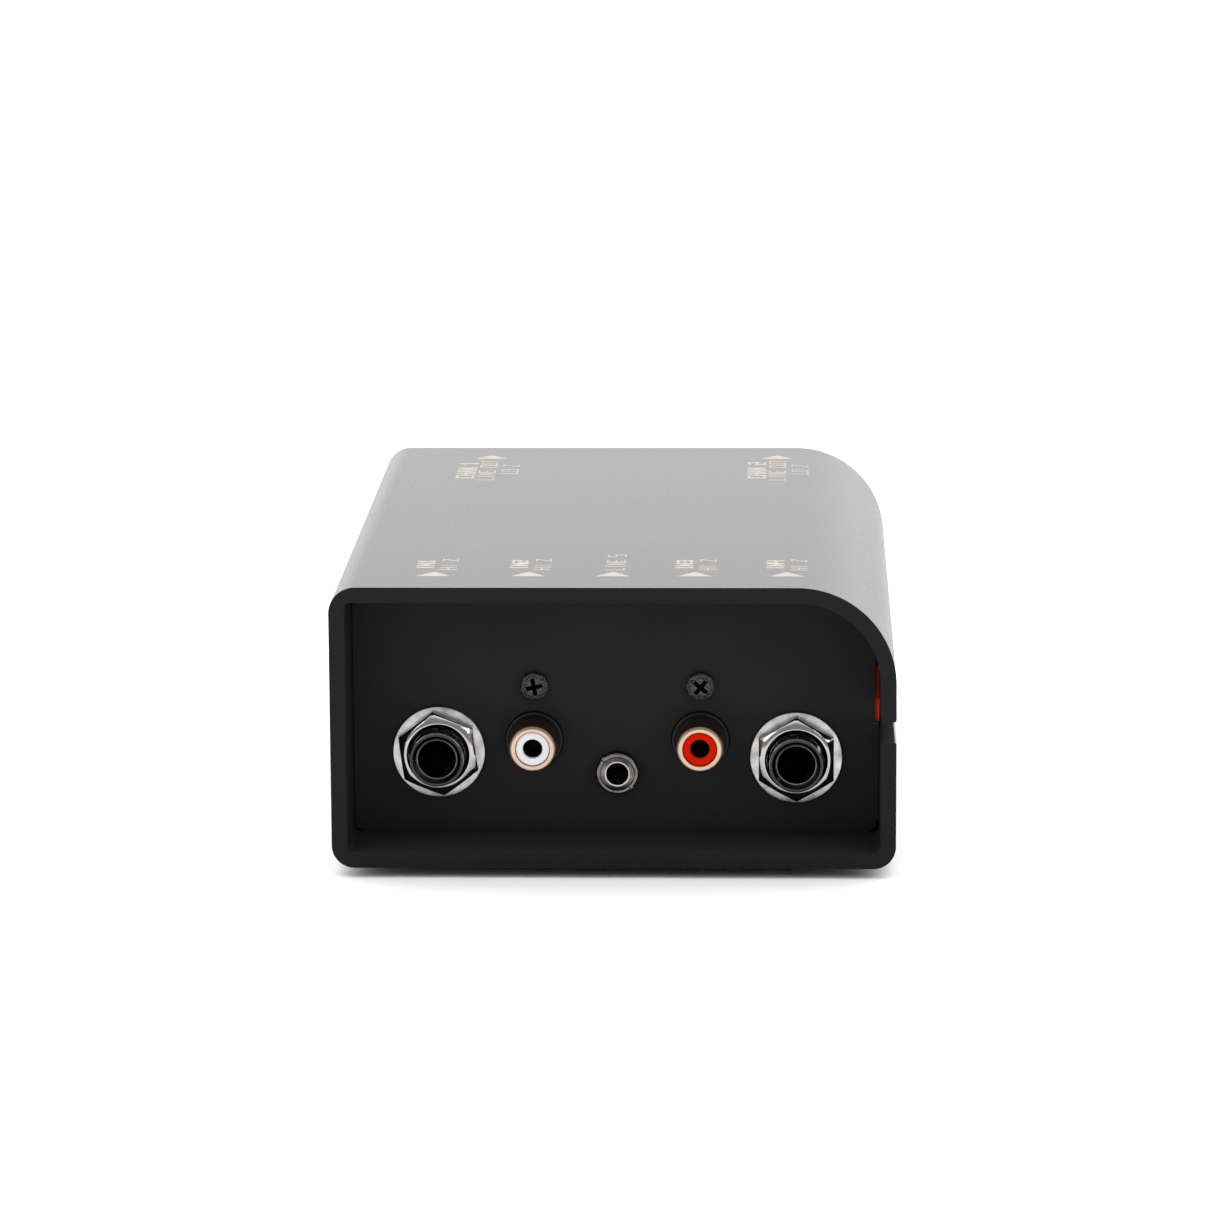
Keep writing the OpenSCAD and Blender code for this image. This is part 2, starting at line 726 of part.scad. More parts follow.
module ground_lift_body() {
    color("silver") difference() {
        union() {
            slab(rear_back - 0.5, rear_back) translate([-lift_ear / 2, xlr_axis_z - lift_body[2] / 2])
                square([lift_ear, lift_body[2]]);
            slab(rear_back - lift_body[1], rear_back - 0.4)
                translate([-lift_body[0] / 2, xlr_axis_z - lift_body[2] / 2])
                square([lift_body[0], lift_body[2]]);
        }
        slab(rear_back - 0.5 - lift_cavity[1], rear_back - 0.5)
            translate([0, xlr_axis_z]) square([lift_cavity[0], lift_cavity[2]], center = true);
        slab(rear_back - 1, rear_back + 1) translate([0, xlr_axis_z])
            square([lift_knob[0] + lift_travel + 2 * lift_window_gap, lift_knob[1] + 0.6], center = true);
        for (s = [-1, 1]) bar(1.1, rear_back - 1, rear_back + 1, s * lift_screw_x, xlr_axis_z);
        for (i = [-1:1]) bar(lift_tail_r + snug, rear_back - lift_body[1] - 1, rear_back - 3,
            i * lift_pitch, xlr_axis_z);
    }
}

// Slider at the left end of its travel
module ground_lift_slider() {
    front = rear_back - 0.5 - running;
    color("white") translate([-lift_travel / 2, 0, 0]) union() {
        slab(front - lift_plate[1], front) translate([0, xlr_axis_z])
            square([lift_plate[0], lift_plate[2]], center = true);
        slab(front - eps, rear_face + lift_knob_out) translate([0, xlr_axis_z])
            square(lift_knob, center = true);
    }
}

// Switch terminals, bent down into the board
module ground_lift_contacts() {
    color("gold") for (i = [-1:1]) union() {
        bar(lift_tail_r, lift_tail_y, rear_back - 3, i * lift_pitch, xlr_axis_z);
        translate([i * lift_pitch, lift_tail_y, board_z - 0.8])
            cylinder(r = lift_tail_r, h = xlr_axis_z + 0.8 - board_z);
    }
}

module ground_lift_screws() {
    color("black") for (s = [-1, 1]) difference() {
        union() {
            bar(1.9, rear_face, rear_face + 1.3, s * lift_screw_x, xlr_axis_z);
            bar(1, rear_back - 2, rear_face + eps, s * lift_screw_x, xlr_axis_z);
        }
        for (turn = [0, 90]) slab(rear_face + 0.6, rear_face + 2)
            translate([s * lift_screw_x, xlr_axis_z]) rotate(turn) square([2.2, 0.5], center = true);
    }
}

shell();
accent_strip();
rubber_feet();
chassis_tray();
clinch_nuts();
tray_screws();
main_board();
board_standoffs();
board_screws();
resistors();
capacitors();
jack_left_body();
jack_left_bush();
jack_left_washer();
jack_left_nut();
jack_left_posts();
jack_left_tip_spring();
jack_left_ring_spring();
jack_right_body();
jack_right_bush();
jack_right_washer();
jack_right_nut();
jack_right_posts();
jack_right_tip_spring();
jack_right_ring_spring();
phono_left_body();
phono_left_barrel();
phono_left_insulator();
phono_left_contact();
phono_right_body();
phono_right_barrel();
phono_right_insulator();
phono_right_contact();
phono_screws();
mini_jack_body();
mini_jack_bush();
mini_jack_nut();
mini_jack_contacts();
xlr_left_shell();
xlr_left_insert();
xlr_left_pins();
xlr_right_shell();
xlr_right_insert();
xlr_right_pins();
xlr_screws();
transformer_left_can();
transformer_left_core();
transformer_left_bobbin();
transformer_left_winding();
transformer_right_can();
transformer_right_core();
transformer_right_bobbin();
transformer_right_winding();
ground_lift_body();
ground_lift_slider();
ground_lift_contacts();
ground_lift_screws();
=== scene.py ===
"""Stereo passive direct injection box: finish, fine meshes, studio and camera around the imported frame."""
import json
import math

import bmesh
import bpy
from mathutils import Matrix, Vector


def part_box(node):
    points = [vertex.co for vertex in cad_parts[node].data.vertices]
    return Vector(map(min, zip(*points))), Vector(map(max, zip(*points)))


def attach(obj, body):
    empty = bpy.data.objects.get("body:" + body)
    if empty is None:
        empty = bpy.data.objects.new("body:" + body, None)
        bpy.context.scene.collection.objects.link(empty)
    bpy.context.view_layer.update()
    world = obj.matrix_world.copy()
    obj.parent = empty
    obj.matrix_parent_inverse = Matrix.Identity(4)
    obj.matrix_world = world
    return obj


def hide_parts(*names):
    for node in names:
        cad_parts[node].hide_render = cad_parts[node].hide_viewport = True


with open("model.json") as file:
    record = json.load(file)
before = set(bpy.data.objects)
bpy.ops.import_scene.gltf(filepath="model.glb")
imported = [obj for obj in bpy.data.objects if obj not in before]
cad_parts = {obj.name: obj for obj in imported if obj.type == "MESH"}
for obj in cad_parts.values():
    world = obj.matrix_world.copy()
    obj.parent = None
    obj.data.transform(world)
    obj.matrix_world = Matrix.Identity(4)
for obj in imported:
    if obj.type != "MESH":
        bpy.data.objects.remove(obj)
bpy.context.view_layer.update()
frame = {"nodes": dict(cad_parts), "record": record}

MM = 0.001
TURN = 2 * math.pi
SEGMENTS = 96
# Points that are nearer to each other than this, in metres, are one point
SAME = 1e-7

# ---- materials -------------------------------------------------------------

ROUGHNESS_SPREAD = 0.15


def grey(level):
    return (level, level, level)


def material(name, colour, roughness, metallic=0.0, ior=1.5, vary=0.12, blotch=120.0,
             grain=2500.0, bump=0.1, height=0.02, stretch=(1, 1, 1)):
    """A finish whose colour varies in blotches and whose roughness and bump follow a fine grain.

    blotch and grain are noise scales per metre, and height is the bump's depth in millimetres."""
    made = bpy.data.materials.new(name)
    made.use_nodes = True
    nodes, links = made.node_tree.nodes, made.node_tree.links
    shader = nodes["Principled BSDF"]
    shader.inputs["Metallic"].default_value = metallic
    shader.inputs["IOR"].default_value = ior
    place = nodes.new("ShaderNodeTexCoord")
    scale = nodes.new("ShaderNodeMapping")
    scale.inputs["Scale"].default_value = stretch
    links.new(place.outputs["Object"], scale.inputs["Vector"])

    def noise(size, detail):
        texture = nodes.new("ShaderNodeTexNoise")
        texture.inputs["Scale"].default_value = size
        texture.inputs["Detail"].default_value = detail
        links.new(scale.outputs["Vector"], texture.inputs["Vector"])
        return texture

    cloud = noise(blotch, 4)
    tint = nodes.new("ShaderNodeMix")
    tint.data_type = "RGBA"
    tint.inputs["A"].default_value = (*[c * (1 - vary) for c in colour], 1)
    tint.inputs["B"].default_value = (*[min(c * (1 + vary), 1) for c in colour], 1)
    links.new(cloud.outputs["Fac"], tint.inputs["Factor"])
    links.new(tint.outputs["Result"], shader.inputs["Base Color"])
    fine = noise(grain, 3)
    rough = nodes.new("ShaderNodeMapRange")
    rough.inputs["To Min"].default_value = roughness * (1 - ROUGHNESS_SPREAD)
    rough.inputs["To Max"].default_value = roughness * (1 + ROUGHNESS_SPREAD)
    links.new(fine.outputs["Fac"], rough.inputs["Value"])
    links.new(rough.outputs["Result"], shader.inputs["Roughness"])
    relief = nodes.new("ShaderNodeBump")
    relief.inputs["Strength"].default_value = bump
    relief.inputs["Distance"].default_value = height * MM
    links.new(fine.outputs["Fac"], relief.inputs["Height"])
    links.new(relief.outputs["Normal"], shader.inputs["Normal"])
    return made


FINISH = {
    "powder_coat": material("powder_coat", grey(0.005), 0.28, ior=1.20, grain=3200, bump=0.12, height=0.02),
    "panel_paint": material("panel_paint", grey(0.0145), 0.55, ior=1.14, grain=4200, bump=0.15),
    # Painted fill light: a lighter, matte copy of the powder coat that lifts the shade on the shell's inner
    # faces
    "inside_painted_fill_light": material("inside_painted_fill_light", grey(0.017), 0.9, ior=1.08, grain=3600, bump=0.2),
    "accent": material("accent", (0.60, 0.030, 0.001), 0.6, ior=1.12, grain=3000, bump=0.1),
    "foot_rubber": material("foot_rubber", grey(0.018), 0.8, grain=2600, bump=0.4, height=0.05),
    "zinc_hardware": material("zinc_hardware", (0.62, 0.62, 0.60), 0.32, 1, blotch=400, bump=0.08),
    "board": material("board", (0.010, 0.085, 0.035), 0.35, vary=0.2, blotch=300, bump=0.15),
    "resistor": material("resistor", (0.50, 0.34, 0.17), 0.35, vary=0.15, blotch=500),
    "capacitor": material("capacitor", (0.012, 0.016, 0.05), 0.22, blotch=300),
    "black_plastic": material("black_plastic", grey(0.006), 0.38, ior=1.3, grain=3800, bump=0.12),
    # Painted dark reflection: the shiny bush's base is made dark where it would mirror a dark studio
    "dark_nickel": material("dark_nickel", (0.034, 0.033, 0.035), 0.16, 1, blotch=500, grain=5000, bump=0.06),
    "bright_zinc": material("bright_zinc", (0.42, 0.42, 0.425), 0.32, 1, vary=0.95, blotch=420,
                            grain=3600, bump=0.5),
    "nut_plate": material("nut_plate", (0.36, 0.35, 0.345), 0.10, 1, vary=0.15, blotch=600,
                          grain=5000, bump=0.05),
    "contact_metal": material("contact_metal", (0.70, 0.56, 0.34), 0.25, 1, blotch=600, bump=0.06),
    "pale_gold": material("pale_gold", (0.50, 0.37, 0.295), 0.28, 1, blotch=500, grain=5000, bump=0.05),
    # Painted shade: a darker brown copy of the pale gold for the barrel's outer lip and side, where dark
    # surroundings reflect
    "gold_painted_shade": material("gold_painted_shade", (0.22, 0.145, 0.095), 0.36, 1, blotch=500, grain=5000, bump=0.05),
    "xlr_black": material("xlr_black", grey(0.018), 0.42, ior=1.45, grain=3600, bump=0.2),
    "pin_silver": material("pin_silver", (0.50, 0.49, 0.47), 0.22, 1, blotch=500, bump=0.04),
    "can_metal": material("can_metal", (0.55, 0.55, 0.53), 0.34, 1, blotch=160, bump=0.06,
                          stretch=(1, 1, 12)),
    "core_steel": material("core_steel", (0.12, 0.12, 0.13), 0.45, 1, grain=900, bump=0.3, stretch=(8, 1, 1)),
    "bobbin_nylon": material("bobbin_nylon", (0.72, 0.68, 0.56), 0.45, blotch=200),
    "copper": material("copper", (0.62, 0.24, 0.10), 0.28, 1, grain=1500, bump=0.5, height=0.08,
                       stretch=(1, 1, 6)),
    "white_plastic": material("white_plastic", (0.66, 0.66, 0.69), 0.28, vary=0.03, bump=0.05),
    "red_plastic": material("red_plastic", (0.52, 0.009, 0.0003), 0.5, ior=1.05, vary=0.06, bump=0.05),
    "black_screw": material("black_screw", grey(0.014), 0.17, ior=1.7, vary=0.6, blotch=1500,
                            grain=2800, bump=1, height=0.4),
    # Painted shade: a near-black copy for the screws' cross recesses
    "recess_painted_shade": material("recess_painted_shade", grey(0.002), 0.8, ior=1.1, bump=0.1),
    # Dull nickel: the mini jack nut's own finish, also used to paint the jack bush's bead brighter and the
    # mini bush's faces outside its rim darker
    "dull_nickel_and_painted_light": material("dull_nickel_and_painted_light", (0.13, 0.12, 0.117), 0.2, 1, vary=0.95, blotch=700, bump=0.2),
    # Painted highlight: a brighter copy of the bush's nickel for its thread crests
    "bright_nickel": material("bright_nickel", (0.26, 0.25, 0.24), 0.17, 1, vary=0.6, blotch=900, bump=0.05),
    "print_ink": material("print_ink", (0.35, 0.315, 0.28), 0.7, ior=1.2, vary=0.06, grain=4200, bump=0.1),
    "black_oxide": material("black_oxide", grey(0.02), 0.55, 1, blotch=500, bump=0.06),
}
SLOT_OF = {row["node"]: row["material_slot"] for row in frame["record"]["subparts"]}
BODY_OF = {node: body for body, nodes in frame["record"]["behaviour"]["bodies"].items() for node in nodes}

# ---- mesh helpers ----------------------------------------------------------

MANY_SIDES = 8
CREASE_ANGLE = 32
ROWS_PER_PITCH = 8


def mark_edges(bm):
    """Smooth shading except on many-sided flats and across edges that turn by the crease angle or more."""
    for face in bm.faces:
        face.smooth = len(face.verts) < MANY_SIDES
    for edge in bm.edges:
        edge.smooth = len(edge.link_faces) == 2 and edge.calc_face_angle(0) < math.radians(CREASE_ANGLE)


def piece(name, bm, finish, node=None, slot=None):
    """Turns a bmesh into a shown piece that stands for a CAD node, or for no node. The slot argument is not
    used.
    """
    bmesh.ops.recalc_face_normals(bm, faces=bm.faces)
    mark_edges(bm)
    mesh = bpy.data.meshes.new(name)
    bm.to_mesh(mesh)
    bm.free()
    made = bpy.data.objects.new(name, mesh)
    bpy.context.scene.collection.objects.link(made)
    mesh.materials.append(FINISH[finish])
    body = "root"
    if node:
        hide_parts(node)
        body, slot = BODY_OF[node], SLOT_OF[node]
    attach(made, body)
    return made


def filleted(corners, steps):
    """Rounds each corner (a, b, radius) of a closed outline and returns its points."""
    outline = []
    for i, (a, b, radius) in enumerate(corners):
        here = Vector((a, b))
        before = Vector(corners[i - 1][:2])
        after = Vector(corners[(i + 1) % len(corners)][:2])
        if radius <= 0:
            outline.append(here)
            continue
        to_before, to_after = (before - here).normalized(), (after - here).normalized()
        half = to_before.angle(to_after) / 2
        reach = radius / math.tan(half)
        centre = here + (to_before + to_after).normalized() * radius / math.sin(half)
        start, end = here + to_before * reach - centre, here + to_after * reach - centre
        sweep = start.angle_signed(end)
        for k in range(steps + 1):
            turned_by = -sweep * k / steps
            c, s = math.cos(turned_by), math.sin(turned_by)
            outline.append(centre + Vector((start.x * c - start.y * s, start.x * s + start.y * c)))
    return outline


def prism(outline, y0, y1, edge, rounds):
    """Extrudes an X, Z outline from y0 to y1 and rounds both rims by edge."""
    bm = bmesh.new()
    floor = [bm.verts.new((p.x, y0, p.y)) for p in outline]
    roof = [bm.verts.new((p.x, y1, p.y)) for p in outline]
    ends = [bm.faces.new(floor), bm.faces.new(roof)]
    for i in range(len(outline)):
        bm.faces.new((floor[i - 1], floor[i], roof[i], roof[i - 1]))
    rims = [e for face in ends for e in face.edges]
    bmesh.ops.bevel(bm, geom=rims, offset=edge, segments=rounds, profile=0.5, affect="EDGES")
    return bm


def lathe(profile, x, z, segments=SEGMENTS, thread=None):
    """Turns a closed (radius, y) profile about the Y axis through x, z.

    thread is (y0, y1, pitch, depth): between y0 and y1 the outside is cut by a helix."""
    rows = [Vector(p) for p in profile]
    if thread:
        rows = finer(rows, thread)
    bm = bmesh.new()
    rings = []
    for k in range(segments):
        angle = TURN * k / segments
        ring = []
        for r, y in rows:
            if thread:
                r -= thread_cut(r, y, angle, rows, thread)
            ring.append(bm.verts.new((x + r * math.cos(angle), y, z + r * math.sin(angle))))
        rings.append(ring)
    for k in range(segments):
        for i in range(len(rows)):
            if max(rows[i - 1].x, rows[i].x) > SAME:
                bm.faces.new((rings[k - 1][i - 1], rings[k - 1][i], rings[k][i], rings[k][i - 1]))
    bmesh.ops.remove_doubles(bm, verts=bm.verts, dist=SAME)
    return bm


def finer(rows, thread):
    """Adds rows along the profile's outermost straight run, fine enough for the thread."""
    pitch = thread[2]
    crest = max(r for r, _ in rows)
    cut = []
    for i, row in enumerate(rows):
        before = rows[i - 1]
        on_crest = abs(before.x - crest) < SAME and abs(row.x - crest) < SAME
        if on_crest:
            steps = max(2, round(abs(row.y - before.y) / pitch * ROWS_PER_PITCH))
            cut += [before.lerp(row, k / steps) for k in range(1, steps)]
        cut.append(row)
    return cut


def thread_cut(r, y, angle, rows, thread):
    """Depth of a vee thread at one point, fading out at both ends of the run."""
    y0, y1, pitch, depth = thread
    if r < max(p.x for p in rows) - SAME or not y0 <= y <= y1:
        return 0.0
    phase = (y / pitch - angle / TURN) % 1.0
    fade = min(1.0, (y - y0) / pitch, (y1 - y) / pitch)
    return depth * fade * abs(2 * phase - 1)


def joined(*parts):
    """One bmesh that holds several closed shells."""
    whole = bmesh.new()
    for part in parts:
        mesh = bpy.data.meshes.new("part")
        part.to_mesh(mesh)
        part.free()
        whole.from_mesh(mesh)
        bpy.data.meshes.remove(mesh)
    return whole


def carved(made, cutter):
    """Cuts the cutter bmesh out of a piece."""
    bmesh.ops.recalc_face_normals(cutter, faces=cutter.faces)
    mesh = bpy.data.meshes.new("cutter")
    cutter.to_mesh(mesh)
    cutter.free()
    tool = bpy.data.objects.new("cutter", mesh)
    bpy.context.scene.collection.objects.link(tool)
    cut = made.modifiers.new("cut", "BOOLEAN")
    cut.operation, cut.object, cut.solver = "DIFFERENCE", tool, "MANIFOLD"
    bpy.context.view_layer.update()
    result = bpy.data.meshes.new_from_object(made.evaluated_get(bpy.context.evaluated_depsgraph_get()))
    made.modifiers.clear()
    bm = bmesh.new()
    bm.from_mesh(result)
    bmesh.ops.remove_doubles(bm, verts=bm.verts, dist=SAME)
    mark_edges(bm)
    bm.to_mesh(made.data)
    bm.free()
    bpy.data.meshes.remove(result)
    bpy.data.objects.remove(tool)
    bpy.data.meshes.remove(mesh)


def brick(low, high):
    """A box between two corners."""
    bm = bmesh.new()
    bmesh.ops.create_cube(bm, size=1)
    for v in bm.verts:
        v.co = Vector([low[i] + (v.co[i] + 0.5) * (high[i] - low[i]) for i in range(3)])
    return bm


class Spot:
    """Where a CAD node sits: its axis in X and Z, and its front and back in Y."""

    def __init__(self, node):
        self.low, self.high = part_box(node)
        self.x, self.z = (self.low.x + self.high.x) / 2, (self.low.z + self.high.z) / 2
        self.front, self.back = self.low.y, self.high.y
        self.r = (self.high.x - self.low.x) / 2


# ---- shell -----------------------------------------------------------------

WALL = 2.7 * MM
SHOULDER_R = 17 * MM
EDGE_R = 4.6 * MM
BASE_R = 3.9 * MM
INNER_R = 1.0 * MM
SLOT_LOW = 24.0 * MM
SLOT_HIGH = 27.6 * MM
# Roundings of the slot's upper lip and of its sill, outside and inside
LIP_R, SILL_R, SILL_INNER_R = 0.5 * MM, 0.3 * MM, 0.6 * MM
RIM_R = 0.3 * MM
# A face whose normal has a larger part than this along Y belongs to an open end's rim
RIM_FACING = 0.5
# Countersunk holes for the tray screws: radii and heights above the underside, in millimetres
SCREW_HEAD_R = 2.8
SINK_R, HOLE_R = 2.95, 1.6
SINK_EDGE, SINK_DEPTH, HOLE_DEPTH = 0.1, 1.4, 3.2


def make_shell():
    """The one-piece shell, open at both ends, with its side slot and countersunk screw holes."""
    low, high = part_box("shell")
    right, left, base, top = high.x, low.x, low.z, high.z
    outline = filleted([
        (right, SLOT_LOW, SILL_R), (right, base, BASE_R), (left, base, BASE_R), (left, top, EDGE_R),
        (right, top, SHOULDER_R), (right, SLOT_HIGH, LIP_R), (right - WALL, SLOT_HIGH, LIP_R),
        (right - WALL, top - WALL, SHOULDER_R - WALL), (left + WALL, top - WALL, INNER_R),
        (left + WALL, base + WALL, INNER_R), (right - WALL, base + WALL, INNER_R),
        (right - WALL, SLOT_LOW, SILL_INNER_R),
    ], steps=24)
    bm = prism(outline, low.y, high.y, edge=RIM_R, rounds=3)
    made = piece("shell_fine", bm, "powder_coat", node="shell")
    group_low, group_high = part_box("tray_screws")
    reach = SCREW_HEAD_R * MM
    hole = [(SINK_R, -SINK_EDGE), (SINK_R, SINK_EDGE), (HOLE_R, SINK_DEPTH), (HOLE_R, HOLE_DEPTH)]
    holes = []
    for x in (group_low.x + reach, group_high.x - reach):
        for y in (group_low.y + reach, group_high.y - reach):
            holes.append(stack_z(hole, x, y, base))
    carved(made, joined(*holes))
    # The shell's inner faces take the lighter copy of the coat, a painted fill light in their shade
    made.data.materials.append(FINISH["inside_painted_fill_light"])
    middle = (low + high) / 2
    for face in made.data.polygons:
        inward = (middle - face.center) * Vector((1, 0, 1))
        if abs(face.normal.y) < RIM_FACING and face.normal.dot(inward) > 0:
            face.material_index = 1


def stack_z(steps, x, y, z):
    """A turned solid about a Z axis from (radius, height) steps in millimetres."""
    segments = SEGMENTS // 2
    bm = bmesh.new()
    rings = []
    for r, h in steps:
        ring = []
        for k in range(segments):
            angle = TURN * k / segments
            out_x, out_y = r * MM * math.cos(angle), r * MM * math.sin(angle)
            ring.append(bm.verts.new((x + out_x, y + out_y, z + h * MM)))
        rings.append(ring)
    for lower, upper in zip(rings, rings[1:]):
        for k in range(segments):
            bm.faces.new((lower[k - 1], lower[k], upper[k], upper[k - 1]))
    bm.faces.new(rings[0])
    bm.faces.new(rings[-1])
    return bm


# ---- input sockets ---------------------------------------------------------

FINE_SEGMENTS = 128
# Thread pitches and depths, where the threads begin behind the front, and the play around them
JACK_THREAD, MINI_THREAD = (0.79 * MM, 0.35 * MM), (0.5 * MM, 0.18 * MM)
JACK_THREAD_IN, MINI_THREAD_IN = 0.45 * MM, 0.2 * MM
THREAD_PAST_NUT = 1 * MM
THREAD_PLAY = 0.05 * MM
JACK_BORE = 3.25 * MM
# In the jack's mouth, out from the bore and in from the front: a bead, the groove around it, the funnel
BEAD_OUT, GROOVE_OUT, FUNNEL_OUT = 0.15 * MM, 0.35 * MM, 0.95 * MM
BEAD_IN, GROOVE_IN, BORE_IN = 0.6 * MM, 0.75 * MM, 0.8 * MM
WASHER_EDGE_R = 0.16 * MM
# Bands of the bush that are painted brighter, as highlights: the thread crests and the bead
CREST_BAND = 0.16 * MM
BEAD_BAND = (0.02 * MM, 0.24 * MM)
NUT_FLAT, NUT_CROWN, NUT_MOUTH = 6.5 * MM, 5.85 * MM, 5.4 * MM
# The nut's dished mouth, and the small roundings at the mouth, at the chamfer's rim and above it
NUT_DISH, NUT_SOFT, NUT_MOUTH_EDGE, NUT_RIM_RISE = 0.5 * MM, 0.06 * MM, 0.08 * MM, 0.02 * MM
NUT_CHAMFER = 30


def make_jack(side, nut_turn):
    """Washer, nut and threaded bush of one 6.3 mm jack."""
    washer = Spot(f"jack_{side}_washer")
    bush = Spot(f"jack_{side}_bush")
    nut = Spot(f"jack_{side}_nut")
    hole = bush.r + 2 * THREAD_PLAY
    soft = WASHER_EDGE_R
    ring = filleted([(hole, washer.front, soft), (washer.r, washer.front, soft),
                     (washer.r, washer.back, soft), (hole, washer.back, soft)], 3)
    piece(f"jack_{side}_washer_fine", lathe(ring, washer.x, washer.z, FINE_SEGMENTS), "bright_zinc",
          node=f"jack_{side}_washer")
    piece(f"jack_{side}_nut_fine", hex_nut(nut, bush.r + THREAD_PLAY, nut_turn), "nut_plate",
          node=f"jack_{side}_nut")
    front = bush.front
    wall = filleted([
        (JACK_BORE, front + BORE_IN, 0.1 * MM), (JACK_BORE + BEAD_OUT, front + BEAD_IN, 0.12 * MM),
        (JACK_BORE + GROOVE_OUT, front + GROOVE_IN, 0.05 * MM), (JACK_BORE + FUNNEL_OUT, front, 0.1 * MM),
        (bush.r, front, 0.22 * MM), (bush.r, bush.back, 0), (JACK_BORE, bush.back, 0)], 4)
    thread = (front + JACK_THREAD_IN, nut.back + THREAD_PAST_NUT, *JACK_THREAD)
    made = piece(f"jack_{side}_bush_fine", lathe(wall, bush.x, bush.z, FINE_SEGMENTS, thread), "dark_nickel",
                 node=f"jack_{side}_bush")
    made.data.materials.append(FINISH["bright_nickel"])
    made.data.materials.append(FINISH["dull_nickel_and_painted_light"])
    # Painted light on one metal: the crests and the bead take brighter copies of the dark nickel as
    # highlights
    for face in made.data.polygons:
        r = math.hypot(face.center.x - bush.x, face.center.z - bush.z)
        if r > bush.r - CREST_BAND:
            face.material_index = 1
        elif BEAD_BAND[0] < r - JACK_BORE < BEAD_BAND[1]:
            face.material_index = 2


def hex_nut(nut, hole, turn):
    """A hexagon nut with a turned chamfer on its front face and a dished mouth."""
    count = 144
    bm = bmesh.new()
    rings = []
    for k in range(count):
        angle = TURN * k / count
        across = (math.degrees(angle) - 90 - turn) % 60 - 30
        reach = NUT_FLAT / math.cos(math.radians(across))
        edge = nut.front + (reach - NUT_CROWN) * math.tan(math.radians(NUT_CHAMFER))
        rows = [(hole, nut.back), (hole, nut.front + NUT_DISH), (NUT_MOUTH, nut.front + NUT_SOFT),
                (NUT_MOUTH + NUT_MOUTH_EDGE, nut.front), (NUT_CROWN, nut.front),
                (reach - NUT_SOFT, edge - NUT_RIM_RISE), (reach, edge + NUT_SOFT), (reach, nut.back)]
        rings.append([bm.verts.new((nut.x + r * math.cos(angle), y, nut.z + r * math.sin(angle)))
                      for r, y in rows])
    for k in range(count):
        for i in range(len(rings[0])):
            bm.faces.new((rings[k - 1][i - 1], rings[k - 1][i], rings[k][i], rings[k][i - 1]))
    return bm


PANEL_T = 1.5 * MM
# The phono socket's black collar: radii, the depth of its step and its overlap with the block behind
COLLAR_R, COLLAR_STEP_R, NECK_R = 5.0 * MM, 4.45 * MM, 3.95 * MM
COLLAR_STEP, COLLAR_OVERLAP = 0.35 * MM, 0.01 * MM
BLOCK_EDGE_R = 0.4 * MM
BARREL_BORE, BARREL_NECK_R = 3.0 * MM, 3.9 * MM
BARREL_LIP_R, BARREL_SEAT = 0.65 * MM, 0.3 * MM
# How far in from the barrel's outside its faces take the painted shade
BARREL_PAINTED_SHADE_BAND = 0.5 * MM
PLUG_HOLE_R = 1.7 * MM
# The insulator's funnel, and the wider hole behind it
FUNNEL_W, FUNNEL_D, BACK_HOLE_OUT, BACK_HOLE_IN = 0.12 * MM, 0.1 * MM, 0.3 * MM, 1.0 * MM
SLEEVE_T, SLEEVE_END_T = 0.3 * MM, 0.4 * MM


